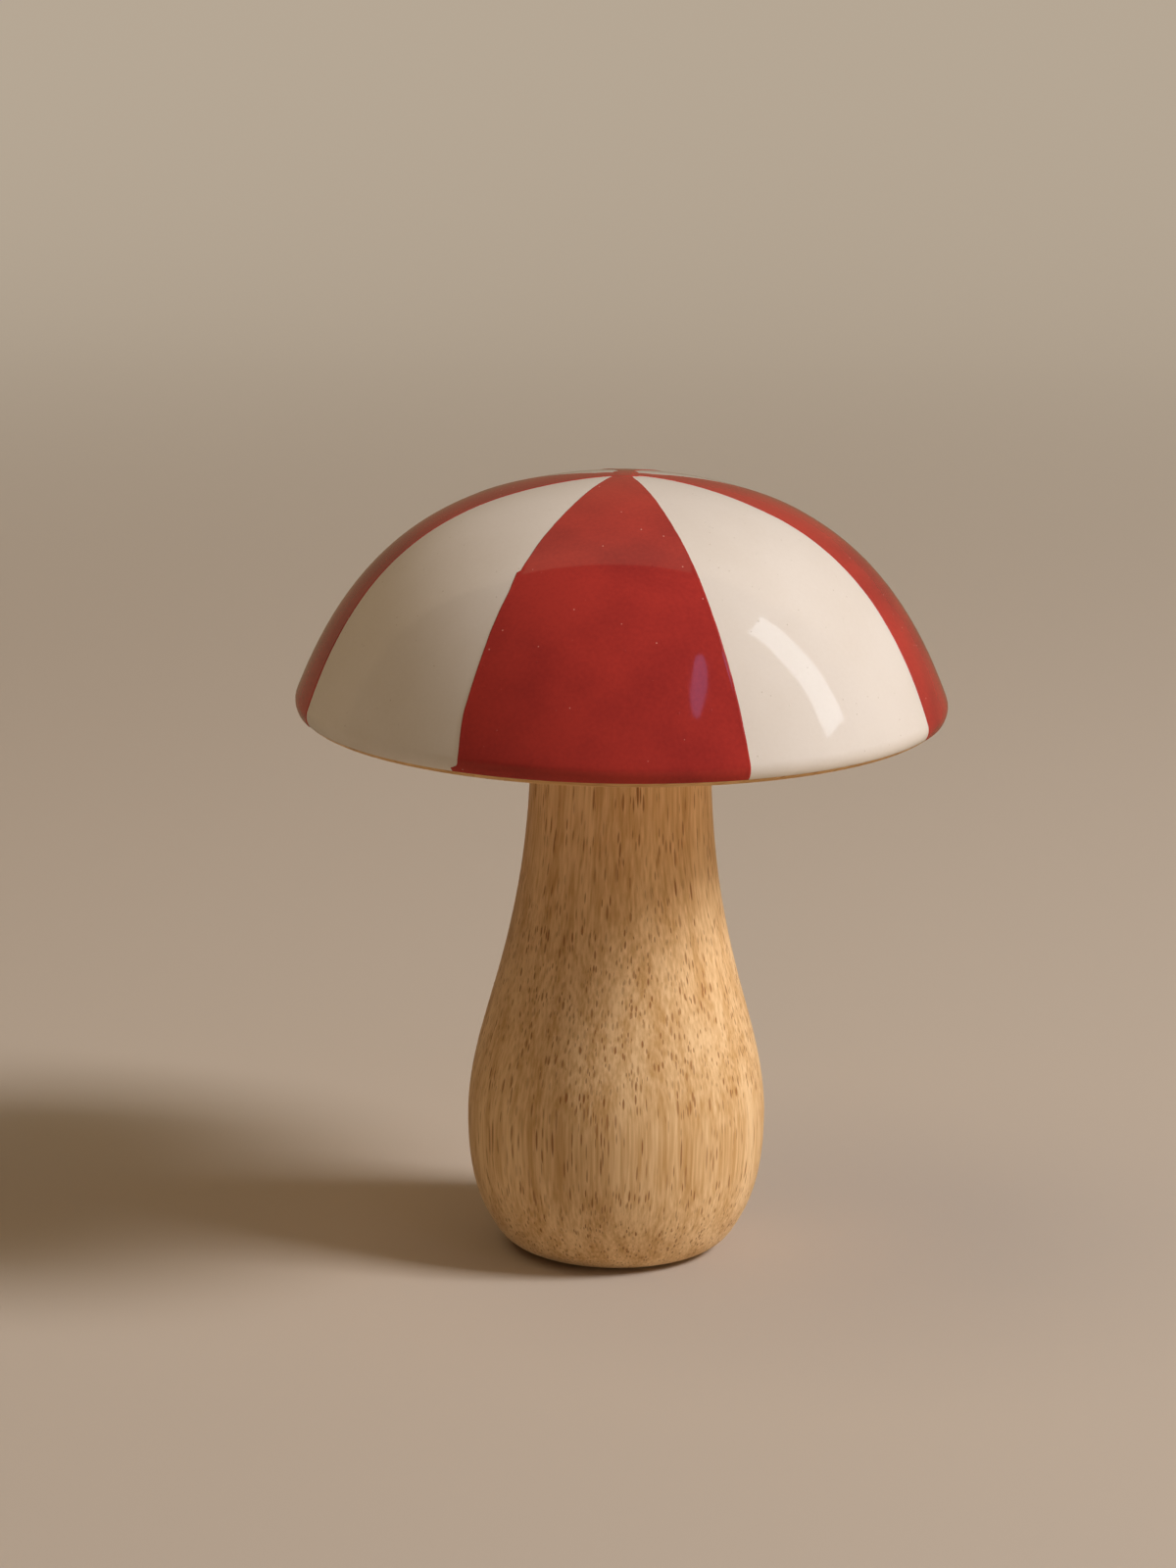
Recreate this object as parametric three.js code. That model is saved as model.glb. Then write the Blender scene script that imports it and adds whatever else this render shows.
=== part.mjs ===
// Wooden mushroom ornament: a turned hardwood stem, a turned hardwood cap on a glued dowel, and a
// thick gloss enamel on the cap in eight gores, four red and four cream, that meet at the crown.
// Millimetres, +Z up. The origin is the middle of the foot, on the surface that it stands on, and
// the middle of one red gore faces -Y.
import * as THREE from "three";

// The whole ornament
const OVERALL_H = 122;
const FIT_GAP = 0.3; // left between two pieces that are glued or bonded face to face

// The cap's finished outside: a rounded lip, a leaning flank and a broad crown
const CAP_R = 50;
const CAP_H = 37.5;
const LIP_R = 2.7;
const LIP_TOP_DEG = 21; // where the lip's rounding hands over to the flank, above the widest line
const FLANK_HOLD = 0.47; // how long the curve keeps the flank's slope, as a share of its rise
const CROWN_HOLD = 0.66; // how long it keeps level from the crown, as a share of its reach

// The enamel
const ENAMEL_T = 0.8;
const ENAMEL_FOOT_DEG = -45; // the enamel stops here on the lip, and bare wood shows below it
const GORES_OF_EACH = 4;
const FRONT_RED_DEG = 48; // painted by hand: this gore and the cream ones beside it are the widest,
const FRONT_CREAM_DEG = 47; // and the others share the rest of the round evenly
const CROWN_SPOT_R = 1.4; // the round patch in which the red gores run together

// The cap's underside: a narrow land at the rim, a shallow cove and a flat around the stem
const RIM_LAND = 1.5;
const COVE_RISE = 4;
const LANDING_W = 7;
const SOCKET_DEPTH = 2; // the stem's end stands this far into the cap

// The stem: a small rounded foot, a full belly and a waisted neck
const FOOT_R = 13;
const FOOT_ROUND_R = 6.9;
const FOOT_ROUND_DEG = 58;
const BELLY_R = 23.2;
const BELLY_Z = 21.2;
const NECK_R = 14.1;
const NECK_FLARE = 0.045; // radius gained for each millimetre of height, at the top of the neck
const FOOT_HOLD = 0.23; // how long each curve keeps its end's direction, as a share of its rise
const BELLY_HOLD_BELOW = 0.585;
const BELLY_HOLD_ABOVE = 0.24;
const NECK_HOLD = 0.595;

// The dowel that joins them, and its two drilled holes
const DOWEL_R = 5;
const DOWEL_L = 40;
const DOWEL_CHAMFER = 1;
const FLUTES = 12;
const FLUTE_DEPTH = 0.45;
const GLUE_ROOM = 1; // past each end of the dowel
const HOLE_COUNTERSINK = 0.6;
const DRILL_POINT_DEG = 59; // half the angle of the drill's point
const CROWN_WOOD = 6.2; // wood left between the drill's point and the enamel

// How finely the round forms are cut into flats
const TURN_STEPS = 56;
const GORE_STEP_DEG = 6;
const FLANK_STEPS = 12;
const LIP_STEPS = 4;
const CURVE_STEPS = 9;
const STEPS_PER_FLUTE = 4;

// Sizes that follow from those above
const RIM_Z = OVERALL_H - CAP_H;
const LANDING_Z = RIM_Z + COVE_RISE;
const SOCKET_Z = LANDING_Z + SOCKET_DEPTH;
const STEM_H = SOCKET_Z - FIT_GAP;
const CORE_DEPTH = ENAMEL_T + FIT_GAP; // from the finished surface down to the wood under it
const HOLE_R = DOWEL_R + FIT_GAP;
const DRILL_POINT_H = HOLE_R / Math.tan(radians(DRILL_POINT_DEG));
const CAP_HOLE_END_Z = OVERALL_H - CORE_DEPTH - CROWN_WOOD - DRILL_POINT_H;
const DOWEL_TOP_Z = CAP_HOLE_END_Z - GLUE_ROOM;
const DOWEL_FOOT_Z = DOWEL_TOP_Z - DOWEL_L;
const STEM_HOLE_END_Z = DOWEL_FOOT_Z - GLUE_ROOM;
const EVEN_GORE_DEG = (360 - FRONT_RED_DEG - 2 * FRONT_CREAM_DEG) / (2 * GORES_OF_EACH - 3);

// Finishes
const stemWood = new THREE.MeshStandardMaterial({ color: 0xc99a5f, roughness: 0.55, metalness: 0 });
const capWood = new THREE.MeshStandardMaterial({ color: 0xc4955c, roughness: 0.6, metalness: 0 });
const dowelWood = new THREE.MeshStandardMaterial({ color: 0xd9b98c, roughness: 0.7, metalness: 0 });
const redEnamel = new THREE.MeshStandardMaterial({ color: 0xa82a28, roughness: 0.12, metalness: 0 });
const creamEnamel = new THREE.MeshStandardMaterial({ color: 0xe9e0d0, roughness: 0.12, metalness: 0 });

function radians(degrees) {
  return (degrees * Math.PI) / 180;
}

function point(r, z) {
  return new THREE.Vector2(r, z);
}

// Points of a turned outline (radius, height) along an arc; 0 degrees points away from the axis.
function arcPoints(centre, radius, fromDeg, toDeg, steps) {
  return Array.from({ length: steps + 1 }, (_, i) => {
    const angle = radians(fromDeg + ((toDeg - fromDeg) * i) / steps);
    return point(centre.x + radius * Math.cos(angle), centre.y + radius * Math.sin(angle));
  });
}

// A closed solid turned about Z from an outline that starts and ends on the axis.
function turned(outline, steps = TURN_STEPS) {
  return new THREE.LatheGeometry(outline, steps).rotateX(Math.PI / 2);
}

// A closed shell from two grids of points, the outer face and the inner one, with walls between
// their edges.
function shell(outer, inner) {
  const rows = outer.length;
  const columns = outer[0].length;
  const out = (row, column) => row * columns + column;
  const back = (row, column) => rows * columns + out(row, column);
  const index = [];
  const quad = (a, b, c, d) => index.push(a, b, c, a, c, d);
  const right = columns - 1;
  const top = rows - 1;
  for (let row = 0; row < top; row++) {
    for (let column = 0; column < right; column++) {
      quad(out(row, column), out(row, column + 1), out(row + 1, column + 1), out(row + 1, column));
      quad(back(row, column), back(row + 1, column), back(row + 1, column + 1), back(row, column + 1));
    }
    quad(out(row, 0), out(row + 1, 0), back(row + 1, 0), back(row, 0));
    quad(out(row, right), back(row, right), back(row + 1, right), out(row + 1, right));
  }
  for (let column = 0; column < right; column++) {
    quad(out(0, column), back(0, column), back(0, column + 1), out(0, column + 1));
    quad(out(top, column), out(top, column + 1), back(top, column + 1), back(top, column));
  }
  const geometry = new THREE.BufferGeometry().setFromPoints([...outer.flat(), ...inner.flat()]);
  geometry.setIndex(index);
  geometry.computeVertexNormals();
  return geometry;
}

// The cap's finished outline has two stretches: the lip's arc, then one curve over to the crown.
const lipCentre = point(CAP_R - LIP_R, RIM_Z + LIP_R);
const crown = point(0, OVERALL_H);
const flankStart = arcPoints(lipCentre, LIP_R, LIP_TOP_DEG, LIP_TOP_DEG, 1)[0];
const flankSlope = point(-Math.sin(radians(LIP_TOP_DEG)), Math.cos(radians(LIP_TOP_DEG)));
const flank = new THREE.CubicBezierCurve(
  flankStart,
  flankStart.clone().addScaledVector(flankSlope, FLANK_HOLD * (crown.y - flankStart.y)),
  point(CROWN_HOLD * flankStart.x, crown.y),
  crown,
);

// A point of the flank, moved straight in from the finished surface.
function flankPoint(t, depth) {
  const slope = flank.getTangent(t);
  return flank.getPoint(t).addScaledVector(point(slope.y, -slope.x), -depth);
}

// How far along the flank the finished surface has come in to a radius.
function flankAtRadius(radius) {
  let low = 0;
  let high = 1;
  for (let i = 0; i < 40; i++) {
    const middle = (low + high) / 2;
    if (flank.getPoint(middle).x > radius) low = middle;
    else high = middle;
  }
  return low;
}

// The outline at a depth under the finished surface, from an angle on the lip to t on the flank.
function skinPoints(depth, fromDeg, toT) {
  const lip = arcPoints(lipCentre, LIP_R - depth, fromDeg, LIP_TOP_DEG, LIP_STEPS);
  const over = Array.from({ length: FLANK_STEPS }, (_, i) => flankPoint((toT * (i + 1)) / FLANK_STEPS, depth));
  return [...lip, ...over];
}

// A drilled hole's outline, from its countersunk mouth to the middle of the drill's point.
function drilledHole(mouthZ, endZ) {
  const way = Math.sign(endZ - mouthZ);
  return [
    point(HOLE_R + HOLE_COUNTERSINK, mouthZ),
    point(HOLE_R, mouthZ + way * HOLE_COUNTERSINK),
    point(HOLE_R, endZ),
    point(0, endZ + way * DRILL_POINT_H),
  ];
}

function stemGeometry() {
  const corner = arcPoints(point(FOOT_R, FOOT_ROUND_R), FOOT_ROUND_R, -90, FOOT_ROUND_DEG - 90, 5);
  const cornerEnd = corner.at(-1);
  const cornerSlope = point(Math.cos(radians(FOOT_ROUND_DEG)), Math.sin(radians(FOOT_ROUND_DEG)));
  const belly = point(BELLY_R, BELLY_Z);
  const top = point(NECK_R, STEM_H);
  const swellRise = belly.y - cornerEnd.y;
  const waistRise = top.y - belly.y;
  const swell = new THREE.CubicBezierCurve(
    cornerEnd,
    cornerEnd.clone().addScaledVector(cornerSlope, FOOT_HOLD * swellRise),
    point(belly.x, belly.y - BELLY_HOLD_BELOW * swellRise),
    belly,
  );
  const waist = new THREE.CubicBezierCurve(
    belly,
    point(belly.x, belly.y + BELLY_HOLD_ABOVE * waistRise),
    point(top.x - NECK_FLARE * NECK_HOLD * waistRise, top.y - NECK_HOLD * waistRise),
    top,
  );
  return turned([
    point(0, 0),
    ...corner,
    ...swell.getPoints(CURVE_STEPS).slice(1),
    ...waist.getPoints(2 * CURVE_STEPS).slice(1),
    ...drilledHole(STEM_H, STEM_HOLE_END_Z),
  ]);
}

function capCoreGeometry() {
  const landingR = NECK_R + LANDING_W;
  const coveEnd = CAP_R - LIP_R - RIM_LAND;
  const coveRun = coveEnd - landingR;
  const cove = new THREE.CubicBezierCurve(
    point(landingR, LANDING_Z),
    point(landingR + coveRun / 2, LANDING_Z),
    point(coveEnd - coveRun / 4, LANDING_Z),
    point(coveEnd, RIM_Z),
  );
  return turned([
    ...drilledHole(SOCKET_Z, CAP_HOLE_END_Z).reverse(),
    point(NECK_R + FIT_GAP, SOCKET_Z),
    point(NECK_R + FIT_GAP, LANDING_Z),
    ...cove.getPoints(CURVE_STEPS),
    ...arcPoints(lipCentre, LIP_R, -90, ENAMEL_FOOT_DEG, LIP_STEPS),
    ...skinPoints(CORE_DEPTH, ENAMEL_FOOT_DEG, 1),
  ]);
}

// One gore of enamel. Its sides stay half a gap off the line where it meets its neighbour, and its
// columns are even in number, so that one runs down its middle.
function goreGeometry(fromDeg, toDeg) {
  const footGapDeg = THREE.MathUtils.radToDeg(FIT_GAP / (LIP_R - ENAMEL_T));
  const footDeg = ENAMEL_FOOT_DEG + footGapDeg;
  const endT = flankAtRadius(CROWN_SPOT_R + FIT_GAP);
  const columns = 2 * Math.ceil((toDeg - fromDeg) / (2 * GORE_STEP_DEG));
  const rowAt = ({ x: radius, y: height }) => {
    const inset = Math.asin(FIT_GAP / 2 / radius);
    const from = radians(fromDeg) + inset;
    const to = radians(toDeg) - inset;
    return Array.from({ length: columns + 1 }, (_, i) => {
      const turn = from + ((to - from) * i) / columns;
      return new THREE.Vector3(radius * Math.sin(turn), -radius * Math.cos(turn), height);
    });
  };
  return shell(
    skinPoints(0, footDeg, endT).map(rowAt),
    skinPoints(ENAMEL_T, footDeg, endT).map(rowAt),
  );
}

function crownSpotGeometry() {
  const edgeT = flankAtRadius(CROWN_SPOT_R);
  const middleT = (edgeT + 1) / 2;
  const outline = [
    flankPoint(1, ENAMEL_T),
    flankPoint(middleT, ENAMEL_T),
    flankPoint(edgeT, ENAMEL_T),
    flankPoint(edgeT, 0),
    flankPoint(middleT, 0),
    crown,
  ];
  return turned(outline, TURN_STEPS / 2);
}

// A dowel with straight flutes along it and chamfered ends, joined up from rings of one section.
function dowelGeometry() {
  const steps = FLUTES * STEPS_PER_FLUTE;
  const ring = (radius, z) => Array.from({ length: steps + 1 }, (_, i) => {
    const turn = (2 * Math.PI * (i % steps)) / steps;
    const flute = (FLUTE_DEPTH * (1 - Math.cos(FLUTES * turn))) / 2;
    const fluted = Math.max(0, radius - flute);
    return new THREE.Vector3(fluted * Math.cos(turn), fluted * Math.sin(turn), z);
  });
  const rings = [
    ring(0, DOWEL_FOOT_Z),
    ring(DOWEL_R - DOWEL_CHAMFER, DOWEL_FOOT_Z),
    ring(DOWEL_R, DOWEL_FOOT_Z + DOWEL_CHAMFER),
    ring(DOWEL_R, DOWEL_TOP_Z - DOWEL_CHAMFER),
    ring(DOWEL_R - DOWEL_CHAMFER, DOWEL_TOP_Z),
    ring(0, DOWEL_TOP_Z),
  ];
  const corners = [];
  for (let row = 0; row < rings.length - 1; row++) {
    const [lower, upper] = [rings[row], rings[row + 1]];
    for (let i = 0; i < steps; i++) {
      if (row > 0) corners.push(lower[i], lower[i + 1], upper[i + 1]);
      if (row < rings.length - 2) corners.push(lower[i], upper[i + 1], upper[i]);
    }
  }
  const geometry = new THREE.BufferGeometry().setFromPoints(corners);
  geometry.computeVertexNormals();
  return geometry;
}

const ornament = new THREE.Group();
ornament.name = "mushroom_ornament";

function place(name, geometry, material) {
  const mesh = new THREE.Mesh(geometry, material);
  mesh.name = name;
  ornament.add(mesh);
}

place("stem", stemGeometry(), stemWood);
place("joint_dowel", dowelGeometry(), dowelWood);
place("cap_core", capCoreGeometry(), capWood);
place("enamel_crown_spot", crownSpotGeometry(), redEnamel);

// Going round from the front to the right: a red gore, then the cream one beside it.
const sides = ["front", "right", "back", "left"];
let redFrom = -FRONT_RED_DEG / 2;
for (let i = 0; i < GORES_OF_EACH; i++) {
  const besideFront = i === 0 || i === GORES_OF_EACH - 1;
  const creamFrom = redFrom + (i === 0 ? FRONT_RED_DEG : EVEN_GORE_DEG);
  const creamTo = creamFrom + (besideFront ? FRONT_CREAM_DEG : EVEN_GORE_DEG);
  const side = sides[i] ?? `${i + 1}`;
  const nextSide = sides[(i + 1) % GORES_OF_EACH] ?? `${i + 2}`;
  place(`enamel_red_${side}`, goreGeometry(redFrom, creamFrom), redEnamel);
  place(`enamel_cream_${side}_${nextSide}`, goreGeometry(creamFrom, creamTo), creamEnamel);
  redFrom = creamTo;
}

export default ornament;
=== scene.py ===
# %% [markdown]
# # A turned wooden mushroom
#
# The ornament is two pieces of pale hardwood from a lathe, a waisted stem and a shallow dome, joined
# by a hidden dowel. The dome wears thick gloss enamel: a cream coat all over, and four red gores
# painted on top of it that run together at the crown.
#
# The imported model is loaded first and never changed. It fixes where every piece sits, so the pieces
# made here are finer skins in the same places: more columns round the lathe work, paint with a real
# edge, and wood whose pores run through the piece.

import math

import bmesh
import bpy
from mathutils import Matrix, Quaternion, Vector, noise


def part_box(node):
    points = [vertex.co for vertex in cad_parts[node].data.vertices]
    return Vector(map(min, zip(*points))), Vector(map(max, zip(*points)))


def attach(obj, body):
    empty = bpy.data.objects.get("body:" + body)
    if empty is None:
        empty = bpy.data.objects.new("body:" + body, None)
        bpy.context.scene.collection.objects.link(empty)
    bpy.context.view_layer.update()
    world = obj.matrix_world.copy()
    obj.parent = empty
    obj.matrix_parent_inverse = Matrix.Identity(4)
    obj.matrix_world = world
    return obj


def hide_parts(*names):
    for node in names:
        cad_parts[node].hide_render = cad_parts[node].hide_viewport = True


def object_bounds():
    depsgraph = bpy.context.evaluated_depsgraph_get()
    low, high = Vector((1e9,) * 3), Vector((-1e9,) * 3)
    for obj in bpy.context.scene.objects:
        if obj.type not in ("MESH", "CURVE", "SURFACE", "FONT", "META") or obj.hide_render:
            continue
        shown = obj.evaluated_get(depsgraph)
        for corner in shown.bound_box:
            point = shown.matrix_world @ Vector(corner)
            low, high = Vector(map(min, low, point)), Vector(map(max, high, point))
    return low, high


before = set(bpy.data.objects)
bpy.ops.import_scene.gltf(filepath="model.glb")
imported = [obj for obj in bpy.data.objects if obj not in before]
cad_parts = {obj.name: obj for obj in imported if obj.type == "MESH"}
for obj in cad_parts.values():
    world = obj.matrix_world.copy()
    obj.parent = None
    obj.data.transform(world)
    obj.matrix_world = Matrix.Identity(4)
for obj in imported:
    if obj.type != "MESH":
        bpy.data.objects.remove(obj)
cad_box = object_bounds()
print("CAD box in mm:", [round(1000 * v, 2) for corner in cad_box for v in corner])

# %% [markdown]
# ## The camera
#
# A portrait lens far from a small object flattens it, and a lens that is too short would swell the
# cap. So the camera's distance comes first: here the way in which the rim's ellipse opens fixes it
# at about 0.75 m. The focal length then follows from how large the cap stands in the picture, and
# the small shift puts the ornament where it stands in the frame.

# %% The camera
MM = 0.001
PICTURE_W = 1200
PICTURE_H = 1600
AIM_HEIGHT = 60 * MM  # the point of the axis that the camera looks at
AIM_PIXEL_X = 632
AIM_PIXEL_Y = 888
CAMERA_DISTANCE = 750 * MM
CAMERA_AZIMUTH = 3.5  # degrees round from -Y towards +X
CAMERA_ELEVATION = 14.58
CAMERA_ROLL = 0.77
FOCAL_PIXELS = 4950
SENSOR_MM = 36
NEAREST_SEEN = 50 * MM
FARTHEST_SEEN = 50


def towards(azimuth, elevation):
    """The direction at that many degrees round from -Y towards +X, and above the floor."""
    turn, rise = math.radians(azimuth), math.radians(elevation)
    return Vector((math.sin(turn) * math.cos(rise), -math.cos(turn) * math.cos(rise), math.sin(rise)))


def make_camera():
    data = bpy.data.cameras.new("camera")
    data.sensor_width = SENSOR_MM
    data.lens = FOCAL_PIXELS / PICTURE_H * SENSOR_MM
    data.shift_x = (PICTURE_W / 2 - AIM_PIXEL_X) / PICTURE_H
    data.shift_y = (AIM_PIXEL_Y - PICTURE_H / 2) / PICTURE_H
    data.clip_start = NEAREST_SEEN
    data.clip_end = FARTHEST_SEEN
    camera = bpy.data.objects.new("camera", data)
    away = towards(CAMERA_AZIMUTH, CAMERA_ELEVATION)
    camera.location = Vector((0, 0, AIM_HEIGHT)) + away * CAMERA_DISTANCE
    camera.rotation_mode = "QUATERNION"
    level = (-away).to_track_quat("-Z", "Y")
    camera.rotation_quaternion = level @ Quaternion((0, 0, 1), math.radians(CAMERA_ROLL))
    bpy.context.scene.collection.objects.link(camera)
    bpy.context.scene.camera = camera
    return camera


camera = make_camera()
print("camera at", [round(v, 3) for v in camera.location], "lens", round(camera.data.lens, 1), "mm")

# %% [markdown]
# ## Drawing an outline for the lathe
#
# A turner works from a half outline: the radius at each height. Every turned piece here is drawn the
# same way, in millimetres, from arcs where the tool rolled over an edge and from single Bézier
# curves where the wood sweeps. A curve needs only four points, and it can be cut as finely as the
# light asks: gloss paint shows every flat, so these outlines are much finer than the CAD ones.

# %% Arcs and curves
def arc(centre, radius, start_deg, end_deg, steps):
    """Points (radius, height) round a centre; 0 degrees points away from the axis."""
    middle = Vector(centre)
    turns = [math.radians(start_deg + (end_deg - start_deg) * i / steps) for i in range(steps + 1)]
    return [middle + radius * Vector((math.cos(turn), math.sin(turn))) for turn in turns]


def bezier(a, b, c, d, steps):
    """Points along the cubic curve from a to d, whose ends head for b and come from c."""
    a, b, c, d = Vector(a), Vector(b), Vector(c), Vector(d)
    points = []
    for i in range(steps + 1):
        t = i / steps
        u = 1 - t
        points.append(u**3 * a + 3 * u * u * t * b + 3 * u * t * t * c + t**3 * d)
    return points


def smooth_step(low, high, value):
    """0 below low, 1 above high, and an even S between them."""
    t = min(1, max(0, (value - low) / (high - low)))
    return t * t * (3 - 2 * t)


# %% [markdown]
# ## A turned body
#
# Blender's Screw modifier can turn an outline, but the seam where it closes has to be welded again.
# Here the rings are laid down directly: one vertex where the outline touches the axis, a ring of
# them elsewhere, and faces between neighbours. The `skin` function may press each point in by a few
# hundredths of a millimetre, because hand sanding never leaves a perfect surface of revolution.

# %% Turning an outline
SHARP_EDGE = math.radians(38)
ON_AXIS = 1e-6


def add_piece(name, bm, material, nodes):
    """Makes the mesh an object that rides with the ornament and stands for those CAD nodes."""
    bmesh.ops.recalc_face_normals(bm, faces=bm.faces)
    mesh = bpy.data.meshes.new(name)
    bm.to_mesh(mesh)
    bm.free()
    mesh.shade_smooth()
    mesh.set_sharp_from_angle(angle=SHARP_EDGE)
    mesh.materials.append(material)
    piece = bpy.data.objects.new(name, mesh)
    bpy.context.scene.collection.objects.link(piece)
    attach(piece, "root")
    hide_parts(*nodes)
    print(name, "has", len(mesh.polygons), "faces and stands for", ", ".join(nodes))


def turned(outline, columns, skin=None):
    """A closed body about Z from an outline in millimetres that starts and ends on the axis."""
    bm = bmesh.new()
    rings = []
    for radius, height in outline:
        if radius < ON_AXIS:
            rings.append([bm.verts.new((0, 0, height * MM))])
            continue
        ring = []
        for i in range(columns):
            turn = 2 * math.pi * i / columns
            inner = (radius - (skin(turn, height) if skin else 0)) * MM
            ring.append(bm.verts.new((inner * math.cos(turn), inner * math.sin(turn), height * MM)))
        rings.append(ring)
    for lower, upper in zip(rings, rings[1:]):
        for i in range(columns):
            j = (i + 1) % columns
            corners = [lower[i % len(lower)], lower[j % len(lower)]]
            corners += [upper[j % len(upper)], upper[i % len(upper)]]
            face = [v for k, v in enumerate(corners) if v not in corners[:k]]
            if len(face) > 2:
                bm.faces.new(face)
    return bm


# %% [markdown]
# ## Node helpers
#
# A material built in code is a list of nodes and links. Small helpers keep that list readable. The
# first, `node`, adds one with its settings, and its inputs can be given as plain values or as the
# sockets of other nodes, in the order in which the node shows them. The others are the few kinds of
# node that every material here asks for again and again.

# %% Adding nodes
def node(tree, kind, inputs=(), **settings):
    """Adds a node. Each input is named or counted: a socket is linked, and anything else is its value."""
    made = tree.nodes.new(kind)
    for key, value in settings.items():
        setattr(made, key, value)
    pairs = inputs.items() if isinstance(inputs, dict) else enumerate(inputs)
    for key, value in pairs:
        if isinstance(value, bpy.types.NodeSocket):
            tree.links.new(value, made.inputs[key])
        elif value is not None:
            made.inputs[key].default_value = value
    return made


def maths(tree, operation, *inputs, clamp=False):
    return node(tree, "ShaderNodeMath", inputs, operation=operation, use_clamp=clamp).outputs[0]


def vector_maths(tree, operation, *inputs):
    return node(tree, "ShaderNodeVectorMath", inputs, operation=operation)


def mix(tree, factor, a, b):
    """Mixes two colours."""
    made = node(tree, "ShaderNodeMix", {0: factor, 6: a, 7: b}, data_type="RGBA")
    return made.outputs[2]


def ramp(tree, value, from_low, from_high, to_low=0.0, to_high=1.0):
    """Maps a value smoothly from one range to another, and holds it at the ends."""
    inputs = [value, from_low, from_high, to_low, to_high]
    return node(tree, "ShaderNodeMapRange", inputs, interpolation_type="SMOOTHSTEP").outputs[0]


def stretched(tree, vector, across, along):
    """Coordinates in which a distance across the grain, and one along it, each count as 1."""
    scale = (1 / (across * MM), 1 / (across * MM), 1 / (along * MM))
    return vector_maths(tree, "MULTIPLY", vector, scale).outputs[0]


def noise_at(tree, vector, detail):
    """A noise whose patches are about 1 across in the coordinates that it is given."""
    return node(tree, "ShaderNodeTexNoise", {"Vector": vector, "Scale": 1.0, "Detail": detail})


def cells_at(tree, vector):
    """A pattern of cells: how far a place is from its cell's point, and three chances for each cell."""
    cells = node(tree, "ShaderNodeTexVoronoi", {"Vector": vector, "Scale": 1.0})
    chances = node(tree, "ShaderNodeSeparateColor", [cells.outputs["Color"]])
    return cells.outputs["Distance"], chances.outputs


def new_group(name, inputs, outputs):
    """A shader node group with named sockets. Returns its tree, its input node and its output node."""
    tree = bpy.data.node_groups.new(name, "ShaderNodeTree")
    for label, kind, value in inputs:
        socket = tree.interface.new_socket(label, in_out="INPUT", socket_type=kind)
        if value is not None:
            socket.default_value = value
    for label, kind in outputs:
        tree.interface.new_socket(label, in_out="OUTPUT", socket_type=kind)
    return tree, tree.nodes.new("NodeGroupInput"), tree.nodes.new("NodeGroupOutput")


def place_group(tree, group, **values):
    """Places a node group in a material, with its own values; an underscore stands for a space."""
    made = node(tree, "ShaderNodeGroup", node_tree=group)
    for label, value in values.items():
        socket = made.inputs[label.replace("_", " ")]
        if isinstance(value, bpy.types.NodeSocket):
            tree.links.new(value, socket)
        else:
            socket.default_value = value
    return made


# %% [markdown]
# ## What the wood is
#
# The wood is a pale, open-pored hardwood of the rubberwood kind. Its look comes from its vessels:
# tubes about a third of a millimetre wide that run up the trunk and wander a little. Where the
# turned surface runs along them they show as long dark dashes, and where it crosses them, as on the
# shoulder of the belly, only as short ticks and dots.
#
# A flat picture of wood can't do that. So the tubes are made in the block itself: a 3D Voronoi
# pattern, stretched along the grain, has one long narrow drop in each of its cells, and the turned
# surface cuts through the drops. The same goes for the fibres, the broad streaks and the growth
# rings. One node group holds them, because the stem, the cap and the dowel are all cut from wood.

# %% The wood's node group
COLOUR = "NodeSocketColor"
NUMBER = "NodeSocketFloat"
VECTOR = "NodeSocketVector"

# Two kinds of vessel, each with its cell across and along the grain in millimetres, and its radius as
# a share of the cell. The short ones start from another place, so that the two don't line up.
LONG_VESSELS = (0.66, 7.6, 0.33)
SHORT_VESSELS = (0.52, 5, 0.31)
SHORT_VESSELS_START = (0.31, 0.17, 0.43)
VESSEL_SIZE_LEAST = 0.7
VESSEL_SIZE_SPREAD = 0.6
VESSEL_DARK_LEAST = 0.35
VESSEL_DARK_SPREAD = 0.65
VESSEL_CORE = 0.5
CROWD_LEAST = 0.5
CROWD_MOST = 1.25

# Sizes in millimetres, across and along the grain where there are two.
BEND_SIZE = (14, 30)
STRING_SIZE = (2.2, 60)
FIBRE_SIZE = (0.42, 11)
STREAK_SIZE = (3.4, 190)
SWAY = 2.2
PITH_X = 58
PITH_Y = -36
RING_WIDTH = 3.4
RING_TAPER = 0.03  # how much the rings close in up the trunk, per millimetre

# How far each of them moves the tone from pale towards warm, the roughness and the height.
STREAK_TONES = (0.18, 0.72)
RING_TONE = 0.05
FIBRE_TONE = 2.0
PORE_TONE = 0.86
FIBRE_ROUGHNESS = 0.12
PORE_ROUGHNESS = 0.25
FIBRE_HEIGHT = 0.12


def vessels(tree, grain, cell, length, radius, share):
    """A mask of drops along the grain, in that share of the cells."""
    distance, chance = cells_at(tree, stretched(tree, grain, cell, length))
    size = maths(tree, "MULTIPLY_ADD", chance[1], VESSEL_SIZE_SPREAD, VESSEL_SIZE_LEAST)
    inside = maths(tree, "DIVIDE", distance, maths(tree, "MULTIPLY", size, radius))
    drop = ramp(tree, inside, 1.0, VESSEL_CORE)
    dark = maths(tree, "MULTIPLY_ADD", chance[2], VESSEL_DARK_SPREAD, VESSEL_DARK_LEAST)
    there = maths(tree, "LESS_THAN", chance[0], share)
    return maths(tree, "MULTIPLY", maths(tree, "MULTIPLY", drop, dark), there)


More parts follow.
